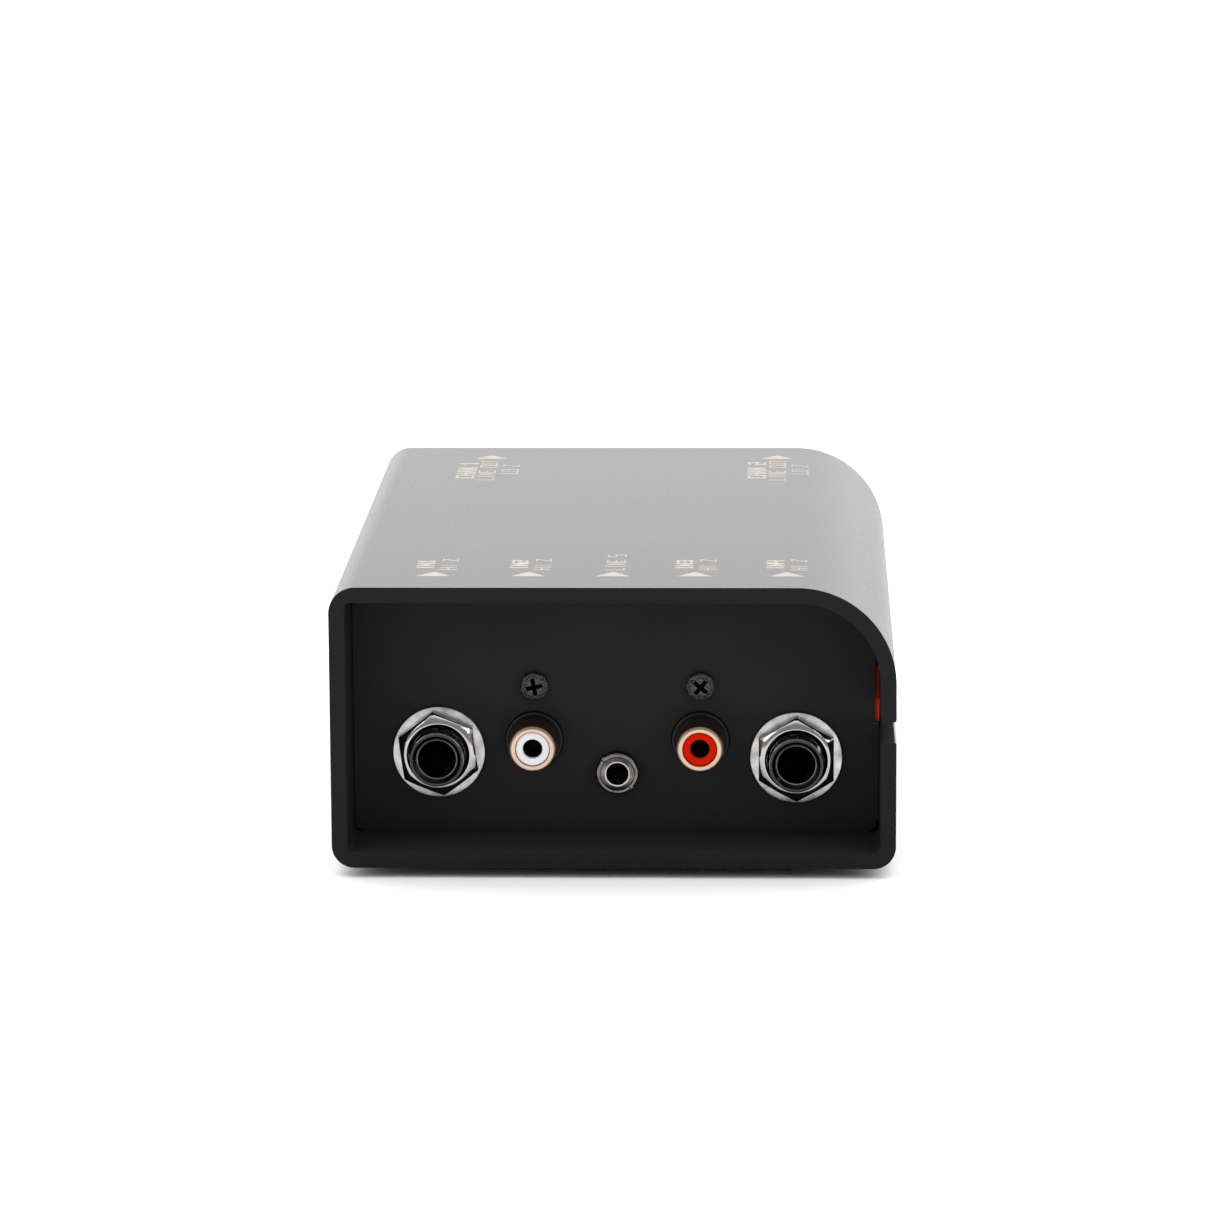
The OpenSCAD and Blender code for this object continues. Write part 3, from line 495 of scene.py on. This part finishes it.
def make_phono(side, colour):
    """Collar and block, barrel, coloured insulator and contact of one phono socket."""
    body = Spot(f"phono_{side}_body")
    barrel = Spot(f"phono_{side}_barrel")
    insulator = Spot(f"phono_{side}_insulator")
    contact = Spot(f"phono_{side}_contact")
    x, z = barrel.x, barrel.z
    panel_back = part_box("chassis_tray")[0].y + PANEL_T
    step, root = body.front + COLLAR_STEP, panel_back + COLLAR_OVERLAP
    collar = filleted([
        (NECK_R, step, 0.05 * MM), (COLLAR_STEP_R, step, 0.05 * MM), (COLLAR_STEP_R, body.front, 0.1 * MM),
        (COLLAR_R, body.front, 0.25 * MM), (COLLAR_R, root, 0), (NECK_R, root, 0)], 4)
    block = brick((body.low.x, panel_back, body.low.z), (body.high.x, body.back, body.high.z))
    bmesh.ops.bevel(block, geom=block.edges[:], offset=BLOCK_EDGE_R, segments=3, profile=0.5, affect="EDGES")
    piece(f"phono_{side}_body_fine", joined(lathe(collar, x, z), block), "black_plastic",
          node=f"phono_{side}_body")
    seat = body.front + BARREL_SEAT
    tube = filleted([
        (BARREL_BORE, barrel.front, 0.1 * MM), (barrel.r, barrel.front, BARREL_LIP_R), (barrel.r, seat, 0),
        (BARREL_NECK_R, seat, 0), (BARREL_NECK_R, barrel.back, 0), (BARREL_BORE, barrel.back, 0)], 6)
    made = piece(f"phono_{side}_barrel_fine", lathe(tube, x, z), "pale_gold", node=f"phono_{side}_barrel")
    # The barrel's outermost faces take the darker gold copy: painted shade of a dark reflection
    made.data.materials.append(FINISH["gold_painted_shade"])
    for face in made.data.polygons:
        if math.hypot(face.center.x - x, face.center.z - z) > barrel.r - BARREL_PAINTED_SHADE_BAND:
            face.material_index = 1
    front, back = insulator.front, insulator.back
    wide = PLUG_HOLE_R + BACK_HOLE_OUT
    core = filleted([
        (PLUG_HOLE_R, front + FUNNEL_D, 0.12 * MM), (PLUG_HOLE_R + FUNNEL_W, front, 0.05 * MM),
        (insulator.r, front, 0.2 * MM), (insulator.r, back, 0), (wide, back, 0),
        (wide, front + BACK_HOLE_IN, 0), (PLUG_HOLE_R, front + BACK_HOLE_IN, 0)], 4)
    piece(f"phono_{side}_insulator_fine", lathe(core, x, z), colour, node=f"phono_{side}_insulator")
    grip, end = contact.r - SLEEVE_T, contact.back - SLEEVE_END_T
    soft = 0.08 * MM
    sleeve = filleted([(grip, contact.front, soft), (contact.r, contact.front, soft),
                       (contact.r, contact.back, 0), (0, contact.back, 0), (0, end, 0), (grip, end, 0)], 3)
    piece(f"phono_{side}_contact_fine", lathe(sleeve, x, z, 48), "black_oxide", node=f"phono_{side}_contact")


MINI_BORE = 1.8 * MM
# The mini jack bush's rim, kept brighter than the faces outside it as a painted highlight, and how far it
# slopes back inside and outside
MINI_RIM_IN, MINI_RIM_OUT = 0.15 * MM, 0.4 * MM
MINI_BORE_SLOPE, MINI_EDGE_SLOPE = 0.3 * MM, 0.15 * MM
# Spanner slots across the round nut: half width, depth and angle
SPANNER_HALF_W, SPANNER_D, SPANNER_TURN = 0.3 * MM, 0.6 * MM, 45


def make_mini_jack():
    """Bush and slotted round nut of the 3.5 mm jack."""
    bush = Spot("mini_jack_bush")
    nut = Spot("mini_jack_nut")
    front = bush.front
    wall = filleted([
        (MINI_BORE, front + MINI_BORE_SLOPE, 0.1 * MM), (MINI_BORE + MINI_RIM_IN, front, 0.12 * MM),
        (MINI_BORE + MINI_RIM_OUT, front, 0.3 * MM), (bush.r, front + MINI_EDGE_SLOPE, 0.1 * MM),
        (bush.r, bush.back, 0), (MINI_BORE, bush.back, 0)], 4)
    thread = (front + MINI_THREAD_IN, nut.back, *MINI_THREAD)
    made = piece("mini_jack_bush_fine", lathe(wall, bush.x, bush.z, thread=thread), "nut_plate",
                 node="mini_jack_bush")
    made.data.materials.append(FINISH["dull_nickel_and_painted_light"])
    # Painted highlight and shade: the rim keeps the brighter plate and the faces outside it take the darker
    # dull nickel
    for face in made.data.polygons:
        if math.hypot(face.center.x - bush.x, face.center.z - bush.z) > MINI_BORE + MINI_RIM_OUT:
            face.material_index = 1
    hole = bush.r + THREAD_PLAY
    ring = filleted([(hole, nut.front, 0.08 * MM), (nut.r, nut.front, 0.35 * MM),
                     (nut.r, nut.back, 0.1 * MM), (hole, nut.back, 0)], 4)
    made = piece("mini_jack_nut_fine", lathe(ring, nut.x, nut.z), "dull_nickel_and_painted_light", node="mini_jack_nut")
    reach, past = 2 * nut.r, 1 * MM
    bar = brick((-reach, nut.front - past, -SPANNER_HALF_W), (reach, nut.front + SPANNER_D, SPANNER_HALF_W))
    bar.transform(Matrix.Translation((nut.x, 0, nut.z)) @ Matrix.Rotation(math.radians(SPANNER_TURN), 4, "Y"))
    carved(made, bar)


# ---- screws ----------------------------------------------------------------

# A recess wing's half width as a part of its span, how much it narrows at its bottom and flares at its top
WING_HALF_W = 0.14
BOTTOM_SPAN, BOTTOM_W = 0.5, 0.6
FLARE_SPAN, FLARE_REACH = 1.25, 1.5
# A pan head's flat and crown fillet as parts of its radius; its side and the side's fillet, of its height
PAN_FLAT, PAN_CROWN_R = 0.55, 0.5
PAN_SIDE, PAN_SIDE_R = 0.45, 0.3
SEAT_EDGE_R = 0.05 * MM
# Which faces of a head take the painted shade of its recess: how far from its axis, how steep and how deep
RECESS_REACH, RECESS_STEEP, RECESS_DEEP = 0.75, 0.6, 0.4 * MM


def recess_wing(x, y, z, towards, span, depth, turn):
    """One tapered wing of a cross recess; towards is the way out of the head along Y."""
    half_w = WING_HALF_W * span
    wing = brick((-span / 2, 0, -half_w), (span / 2, depth, half_w))
    for v in wing.verts:
        if v.co.y < depth / 2:
            v.co.x *= BOTTOM_SPAN
            v.co.z *= BOTTOM_W
        else:
            v.co.x *= FLARE_SPAN
            v.co.y *= FLARE_REACH
    wing.transform(Matrix.Rotation(math.radians(turn), 4, "Y"))
    wing.transform(Matrix.Translation((x, y, z)) @ Matrix.Scale(towards, 4, (0, 1, 0)))
    return wing


def make_screws(node, head_r, head_h, shank_r, towards, recess, turns):
    """Pan head screws of one group node; recess is a cross's span and depth, turns each cross's angle."""
    low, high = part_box(node)
    span, cross_depth = recess
    places = sorted({(round(x, 4), round(z, 4)) for x, z in screw_axes(node)})
    tip, face_y = (high.y, low.y) if towards < 0 else (low.y, high.y)
    seat, side = face_y - towards * head_h, face_y - towards * head_h * PAN_SIDE
    profile = filleted([(0, face_y, 0), (head_r * PAN_FLAT, face_y, head_r * PAN_CROWN_R),
                        (head_r, side, head_h * PAN_SIDE_R), (head_r, seat, SEAT_EDGE_R),
                        (shank_r, seat, 0), (shank_r, tip, 0), (0, tip, 0)], 6)
    screws = [lathe(profile, x, z, 64) for x, z in places]
    made = piece(f"{node}_fine", joined(*screws), "black_screw", node=node)
    bottom = face_y - towards * cross_depth
    for quarter in (0, 90):
        wings = [recess_wing(x, bottom, z, towards, span, cross_depth, turn + quarter)
                 for (x, z), turn in zip(places, turns)]
        carved(made, joined(*wings))
    # The recess faces are painted near black, as the shade inside the cross
    made.data.materials.append(FINISH["recess_painted_shade"])
    for face in made.data.polygons:
        off_axis = min((face.center - Vector((x, face.center.y, z))).length for x, z in places)
        depth = towards * (face_y - face.center.y)
        inside = abs(face.normal.y) < RECESS_STEEP or RECESS_DEEP < depth < head_h + cross_depth
        if inside and off_axis < RECESS_REACH * head_r:
            face.material_index = 1


def screw_axes(node):
    """Axis of each loose solid of a node, from the middle of its own box."""
    bm = bmesh.new()
    bm.from_mesh(frame["nodes"][node].data)
    bmesh.ops.remove_doubles(bm, verts=bm.verts, dist=10 * SAME)
    left = set(bm.verts)
    axes = []
    while left:
        stack = [left.pop()]
        group = []
        while stack:
            v = stack.pop()
            group.append(v)
            for e in v.link_edges:
                other = e.other_vert(v)
                if other in left:
                    left.remove(other)
                    stack.append(other)
        xs, zs = [v.co.x for v in group], [v.co.z for v in group]
        axes.append(((min(xs) + max(xs)) / 2, (min(zs) + max(zs)) / 2))
    bm.free()
    return axes


# ---- carried-over nodes ----------------------------------------------------

SOFT_EDGE = 0.15 * MM
# Edges that turn by more degrees are rounded; faces that differ by fewer are one flat
SHARP_ANGLE, FLAT_ANGLE = 35, 0.6
# The part of its volume that a node may change by when its edges are rounded
VOLUME_SLACK = 0.06


def softened(node):
    """Replaces a CAD node by its own mesh with rounded edges, or by a plain copy where rounding fails."""
    source = frame["nodes"][node].data
    bm = bmesh.new()
    bm.from_mesh(source)
    bmesh.ops.remove_doubles(bm, verts=bm.verts, dist=SAME)
    bmesh.ops.dissolve_limit(bm, angle_limit=math.radians(FLAT_ANGLE), verts=bm.verts, edges=bm.edges)
    before = bm.calc_volume(signed=False)
    sharp = [e for e in bm.edges if e.calc_face_angle(0) > math.radians(SHARP_ANGLE)]
    bmesh.ops.bevel(bm, geom=sharp, offset=SOFT_EDGE, segments=2, profile=0.6, affect="EDGES",
                    clamp_overlap=True)
    after = bm.calc_volume(signed=False)
    closed = all(e.is_manifold for e in bm.edges)
    if not closed or abs(after - before) > VOLUME_SLACK * before:
        bm.free()
        bm = bmesh.new()
        bm.from_mesh(source)
        bmesh.ops.remove_doubles(bm, verts=bm.verts, dist=SAME)
        print("plain copy of", node)
    return piece(f"{node}_fine", bm, SLOT_OF[node], node=node)


# ---- printed legends -------------------------------------------------------

# A sign's width as a part of the pitch of its line
SIGN_WIDTH = 0.68
# Strokes of each sign as points (across, up) in a square with sides of 1
SIGNS = {
    "A": [((0, 0), (0.5, 1), (1, 0)), ((0.2, 0.35), (0.8, 0.35))],
    "C": [((1, 1), (0, 1), (0, 0), (1, 0))],
    "E": [((1, 1), (0, 1), (0, 0), (1, 0)), ((0, 0.5), (0.8, 0.5))],
    "H": [((0, 0), (0, 1)), ((1, 0), (1, 1)), ((0, 0.5), (1, 0.5))],
    "I": [((0.5, 0), (0.5, 1))],
    "L": [((0, 1), (0, 0), (1, 0))],
    "N": [((0, 0), (0, 1), (1, 0), (1, 1))],
    "O": [((0, 0), (0, 1), (1, 1), (1, 0), (0, 0))],
    "T": [((0, 1), (1, 1)), ((0.5, 1), (0.5, 0))],
    "U": [((0, 1), (0, 0), (1, 0), (1, 1))],
    "1": [((0.2, 0.8), (0.5, 1), (0.5, 0)), ((0.2, 0), (0.8, 0))],
    "2": [((0, 1), (1, 1), (1, 0.5), (0, 0.5), (0, 0), (1, 0))],
    "3": [((0, 1), (1, 1), (1, 0), (0, 0)), ((0.2, 0.5), (1, 0.5))],
    "4": [((0, 1), (0, 0.45), (1, 0.45)), ((1, 1), (1, 0))],
    "5": [((1, 1), (0, 1), (0, 0.55), (1, 0.55), (1, 0), (0, 0))],
    "Z": [((0, 1), (1, 1), (0, 0), (1, 0))],
    " ": [],
}
# How thick ink is over the top and how deep it sits in it, and the small lifts that strokes take in turn
INK_T, INK_ROOT = 0.004 * MM, 0.01 * MM
INK_LIFT, LIFTS = 0.0005 * MM, 5
BEND_CUTS, BEND_STEP = 8, 0.4 * MM
TOP_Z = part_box("shell")[1].z


def stroke(a, b, width, lift):
    """A flat bar on the top face, squared off past a and b, twice as heavy along X as along Y."""
    along = (b - a).normalized()
    width *= 1 + abs(along.x)
    along *= width / 2
    across = Vector((-along.y, along.x))
    a, b = a - along, b + along
    corners = [a - across, b - across, b + across, a + across]
    return slab_of(corners, lift)


def slab_of(corners, lift=0.0):
    """Ink over a flat outline; lift keeps crossing strokes from lying in one plane."""
    bm = bmesh.new()
    low = [bm.verts.new((c.x, c.y, TOP_Z - INK_ROOT)) for c in corners]
    high = [bm.verts.new((c.x, c.y, TOP_Z + INK_T + lift)) for c in corners]
    bm.faces.new(low)
    bm.faces.new(high)
    for i in range(len(corners)):
        bm.faces.new((low[i - 1], low[i], high[i], high[i - 1]))
    return bm


def bent(bm):
    """Ink that follows the top where it starts to curve down at the right."""
    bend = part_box("shell")[1].x - SHOULDER_R
    for k in range(BEND_CUTS):
        everything = bm.verts[:] + bm.edges[:] + bm.faces[:]
        at = bend + k * BEND_STEP
        bmesh.ops.bisect_plane(bm, geom=everything, plane_co=(at, 0, 0), plane_no=(1, 0, 0))
    for v in bm.verts:
        past = max(0, v.co.x - bend)
        v.co.z -= SHOULDER_R - math.sqrt(SHOULDER_R ** 2 - past ** 2)
    return bm


def legend(name, text, x0, x1, y0, y1, weight):
    """Lettering that reads from front to back, its feet towards +X; all in millimetres."""
    pitch = (y1 - y0) / len(text)
    width = pitch * SIGN_WIDTH
    bars = []
    for i, sign in enumerate(text):
        for run in SIGNS[sign]:
            spots = [Vector((x1 - v * (x1 - x0), y0 + i * pitch + u * width)) * MM for u, v in run]
            for p, q in zip(spots, spots[1:]):
                bars.append(stroke(p, q, weight * MM, len(bars) % LIFTS * INK_LIFT))
    piece(name, bent(joined(*bars)), "print_ink", slot="powder_coat")


def arrow(name, x, y0, width, length):
    """A triangle that points to the back, its base in the middle at x, y0; all in millimetres."""
    corners = [Vector(p) * MM for p in ((x - width / 2, y0), (x + width / 2, y0), (x, y0 + length))]
    piece(name, bent(slab_of(corners)), "print_ink", slot="powder_coat")


# All that follows is in millimetres: the stroke weights, and each arrow's middle with its bold caption
BOLD, THIN = 0.42, 0.24
INPUTS = {"a": (-31.1, "IN1"), "b": (-14.8, "IN2"), "d": (13.9, "IN3"), "e": (29.7, "IN4")}
OUTPUTS = {"a": (-27.5, "CHAN 1"), "b": (27.8, "CHAN 2")}
MINI_X = -0.2
# Arrows: where the base is along Y, the width and the length
ARROW_IN, ARROW_OUT = (-59.8, 6.0, 4.0), (57.4, 6.4, 3.8)
# Lines of text: from and to along X, counted from the arrow's middle, then from and to along Y
IN_BOLD, IN_THIN = (-3.1, -0.8, -53.0, -44.8), (0.9, 3.4, -54.0, -43.8)
MINI_THIN = (-1.3, 1.7, -54.1, -39.6)
OUT_BOLD, OUT_LINE, OUT_THIN = (-5.3, -2.4, 36.4, 54.0), (-1.4, 1.5, 34.2, 56.1), (2.9, 5.8, 41.0, 51.5)


def caption(name, text, x, place, weight):
    """A legend beside the arrow at x."""
    x0, x1, y0, y1 = place
    legend(name, text, x + x0, x + x1, y0, y1, weight)


def print_top():
    """An arrow and generic captions over each socket."""
    for key, (x, bold) in INPUTS.items():
        arrow(f"arrow_in_{key}", x, *ARROW_IN)
        caption(f"legend_in_{key}_bold", bold, x, IN_BOLD, BOLD)
        caption(f"legend_in_{key}_thin", "HI Z", x, IN_THIN, THIN)
    arrow("arrow_in_c", MINI_X, *ARROW_IN)
    caption("legend_in_c_thin", "LINE 5", MINI_X, MINI_THIN, THIN)
    for key, (x, bold) in OUTPUTS.items():
        arrow(f"arrow_out_{key}", x, *ARROW_OUT)
        caption(f"legend_out_{key}_bold", bold, x, OUT_BOLD, BOLD)
        caption(f"legend_out_{key}_line", "LINE OUT", x, OUT_LINE, THIN)
        caption(f"legend_out_{key}_thin", "LO Z", x, OUT_THIN, THIN)


# ---- assembly --------------------------------------------------------------

NUT_TURNS = {"left": 7.5, "right": 0}
INSULATORS = {"left": "white_plastic", "right": "red_plastic"}

make_shell()
for side, turn in NUT_TURNS.items():
    make_jack(side, turn)
for side, colour in INSULATORS.items():
    make_phono(side, colour)
make_mini_jack()
make_screws("phono_screws", head_r=2.45 * MM, head_h=1.6 * MM, shank_r=1.2 * MM, towards=-1,
            recess=(3.1 * MM, 1.4 * MM), turns=(-12, 40))
make_screws("xlr_screws", head_r=2.75 * MM, head_h=1.8 * MM, shank_r=1.5 * MM, towards=1,
            recess=(3.2 * MM, 1.6 * MM), turns=(20, -15, 35, 5))
make_screws("ground_lift_screws", head_r=1.9 * MM, head_h=1.3 * MM, shank_r=1.0 * MM, towards=1,
            recess=(2.2 * MM, 1.1 * MM), turns=(10, -25))
print_top()
handled = {"shell", "mini_jack_bush", "mini_jack_nut", "phono_screws", "xlr_screws", "ground_lift_screws"}
for side in ("left", "right"):
    handled |= {f"jack_{side}_{part}" for part in ("washer", "nut", "bush")}
    handled |= {f"phono_{side}_{part}" for part in ("body", "barrel", "insulator", "contact")}
for node in frame["nodes"]:
    if node not in handled:
        softened(node)

# ---- studio ----------------------------------------------------------------

CAMERA_AT = (0.03041, -0.98012, 0.23244)
CAMERA_YAW, CAMERA_PITCH, CAMERA_ROLL = -1.968, 11.469, -0.321
LENS, SENSOR = 161.83, 36
FLOOR_SIZE = 12
# Brightness of the white studio behind the camera, behind the object and overhead
FRONT_GLOW, BACK_GLOW, CEILING_GLOW = 0.5, 2.4, 1.5
# The glow changes between these parts of a direction, along Y and upwards
BACK_FROM, BACK_TO = -0.7, 0.6
CEILING_FROM, CEILING_TO = 0.6, 0.9
# Two strip lights in metres and watts: where the right one is, what both are aimed at, size and power
STRIP_X, STRIP_Y, STRIP_Z = 0.75, -0.75, 0.55
STRIP_AIM = (0, -0.05, 0.02)
STRIP_SIZE = (0.3, 0.5)
STRIP_POWER = 1.8


def make_camera():
    """The photo's view, with yaw, pitch and roll in degrees."""
    data = bpy.data.cameras.new("camera")
    data.lens, data.sensor_width = LENS, SENSOR
    cam = bpy.data.objects.new("camera", data)
    bpy.context.scene.collection.objects.link(cam)
    aim = (Matrix.Rotation(math.radians(-CAMERA_YAW), 4, "Z")
           @ Matrix.Rotation(math.radians(90 - CAMERA_PITCH), 4, "X")
           @ Matrix.Rotation(math.radians(CAMERA_ROLL), 4, "Z"))
    cam.matrix_world = Matrix.Translation(CAMERA_AT) @ aim
    bpy.context.scene.camera = cam


def make_floor():
    """A plain pale floor, which isn't part of the object."""
    bm = bmesh.new()
    bmesh.ops.create_grid(bm, x_segments=1, y_segments=1, size=FLOOR_SIZE)
    mesh = bpy.data.meshes.new("floor")
    bm.to_mesh(mesh)
    bm.free()
    floor = bpy.data.objects.new("floor", mesh)
    bpy.context.scene.collection.objects.link(floor)
    paper = bpy.data.materials.new("paper")
    paper.use_nodes = True
    shader = paper.node_tree.nodes["Principled BSDF"]
    shader.inputs["Base Color"].default_value = (0.80, 0.80, 0.80, 1)
    shader.inputs["Roughness"].default_value = 0.9
    shader.inputs["Specular IOR Level"].default_value = 0.1
    mesh.materials.append(paper)


def make_world():
    """A white cyclorama: dim behind the camera, bright behind the object, with a soft ceiling panel."""
    world = bpy.data.worlds.new("studio")
    bpy.context.scene.world = world
    world.use_nodes = True
    nodes, links = world.node_tree.nodes, world.node_tree.links
    way = nodes.new("ShaderNodeSeparateXYZ")
    links.new(nodes.new("ShaderNodeTexCoord").outputs["Generated"], way.inputs["Vector"])

    def ramp(source, low, high, value_low, value_high):
        made = nodes.new("ShaderNodeMapRange")
        made.interpolation_type = "SMOOTHSTEP"
        made.inputs["From Min"].default_value = low
        made.inputs["From Max"].default_value = high
        made.inputs["To Min"].default_value = value_low
        made.inputs["To Max"].default_value = value_high
        links.new(source, made.inputs["Value"])
        return made.outputs["Result"]

    total = nodes.new("ShaderNodeMath")
    links.new(ramp(way.outputs["Y"], BACK_FROM, BACK_TO, FRONT_GLOW, BACK_GLOW), total.inputs[0])
    links.new(ramp(way.outputs["Z"], CEILING_FROM, CEILING_TO, 0, CEILING_GLOW), total.inputs[1])
    links.new(total.outputs["Value"], nodes["Background"].inputs["Strength"])
    nodes["Background"].inputs["Color"].default_value = (1, 1, 1, 1)


def strip_light(side):
    """A soft strip light in front, at the left (-1) or the right (1)."""
    name = f"strip_{side}"
    data = bpy.data.lights.new(name, "AREA")
    data.shape = "RECTANGLE"
    data.size, data.size_y = STRIP_SIZE
    data.energy = STRIP_POWER
    lamp = bpy.data.objects.new(name, data)
    bpy.context.scene.collection.objects.link(lamp)
    at = (STRIP_X * side, STRIP_Y, STRIP_Z)
    lamp.location = at
    lamp.rotation_euler = (Vector(STRIP_AIM) - Vector(at)).to_track_quat("-Z", "Y").to_euler()


make_camera()
make_floor()
make_world()
for side in (-1, 1):
    strip_light(side)
bpy.context.scene.view_settings.view_transform = "Standard"
